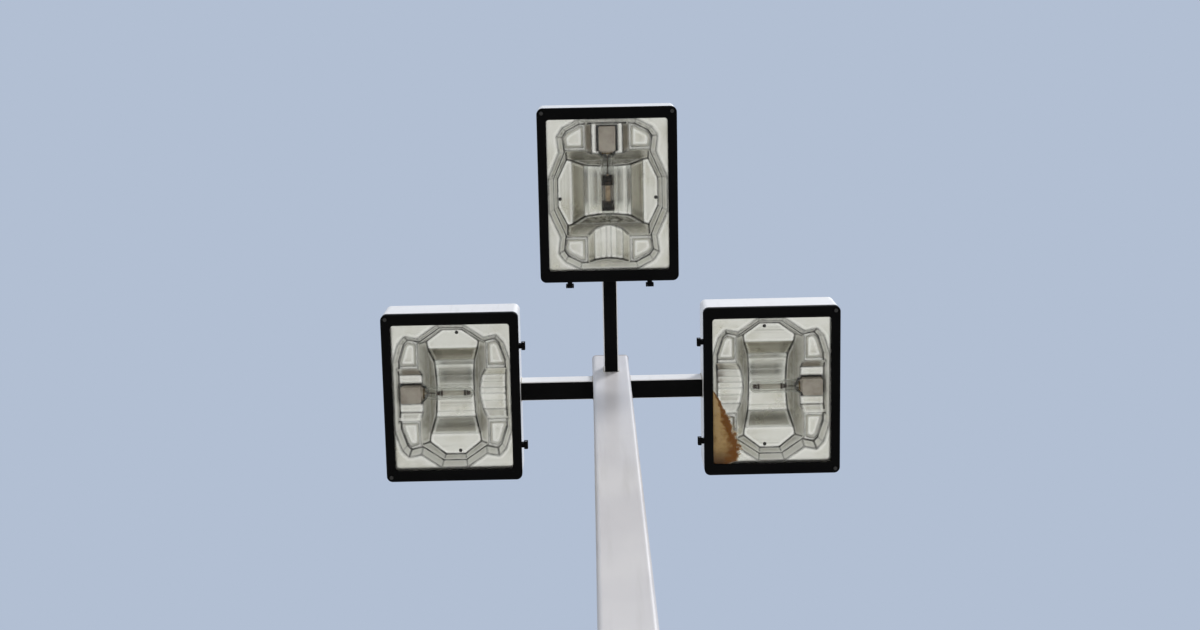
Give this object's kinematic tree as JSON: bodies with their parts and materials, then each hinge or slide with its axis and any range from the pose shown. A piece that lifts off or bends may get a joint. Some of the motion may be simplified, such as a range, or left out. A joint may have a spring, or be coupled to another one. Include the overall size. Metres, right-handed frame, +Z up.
{
  "type": "street light",
  "caption": "Area light on a tall square pole: shoebox heads on short arms, each with a faceted reflector, a lamp and a glazed door that hinges down.",
  "frame": {"origin": "centre of the base plate's underside", "axes": "+Z up along the pole; heads stand out to -Y, -X and +X, and the hand hole faces +Y"},
  "size_m": [1.556, 1.2645, 7.624],
  "materials": {
    "pole_paint": "satin white paint",
    "housing_paint": "gloss white paint",
    "dark_paint": "black paint",
    "reflector_aluminium": "bright anodised",
    "socket_ceramic": "matt",
    "lamp_glass": "clear",
    "door_glass": "clear",
    "gasket_rubber": "matt",
    "fastener_steel": "zinc plated"
  },
  "bodies": {
    "pole": {"base_plate": "pole_paint", "pole_shaft": "pole_paint", "pole_cap": "pole_paint", "hand_hole_frame": "pole_paint", "hand_hole_cover": "pole_paint", "base_cover_front": "pole_paint", "base_cover_back": "pole_paint", "near_arm": "pole_paint", "near_arm_cover": "dark_paint", "near_housing": "housing_paint", "near_hinge_brackets": "dark_paint", "near_hinge_pins": "fastener_steel", "near_reflector": "reflector_aluminium", "near_lamp_socket": "socket_ceramic", "near_lamp": "lamp_glass", "left_arm": "pole_paint", "left_arm_cover": "dark_paint", "left_housing": "housing_paint", "left_hinge_brackets": "dark_paint", "left_hinge_pins": "fastener_steel", "left_reflector": "reflector_aluminium", "left_lamp_socket": "socket_ceramic", "left_lamp": "lamp_glass", "right_arm": "pole_paint", "right_arm_cover": "dark_paint", "right_housing": "housing_paint", "right_hinge_brackets": "dark_paint", "right_hinge_pins": "fastener_steel", "right_reflector": "reflector_aluminium", "right_lamp_socket": "socket_ceramic", "right_lamp": "lamp_glass"},
    "near_door": {"near_door_frame": "dark_paint", "near_door_glass": "door_glass", "near_door_gasket": "gasket_rubber", "near_door_screws": "fastener_steel"},
    "left_door": {"left_door_frame": "dark_paint", "left_door_glass": "door_glass", "left_door_gasket": "gasket_rubber", "left_door_screws": "fastener_steel"},
    "right_door": {"right_door_frame": "dark_paint", "right_door_glass": "door_glass", "right_door_gasket": "gasket_rubber", "right_door_screws": "fastener_steel"}
  },
  "joints": [
    {"name": "near_door_hinge", "type": "hinge", "parent": "pole", "child": "near_door", "pos_m": [0, -0.375, 7.282], "axis": [1, 0, 0], "range_deg": [0, 90]},
    {"name": "left_door_hinge", "type": "hinge", "parent": "pole", "child": "left_door", "pos_m": [-0.298, 0, 7.282], "axis": [0, -1, 0], "range_deg": [0, 90]},
    {"name": "right_door_hinge", "type": "hinge", "parent": "pole", "child": "right_door", "pos_m": [0.298, 0, 7.282], "axis": [0, 1, 0], "range_deg": [0, 90]}
  ]
}
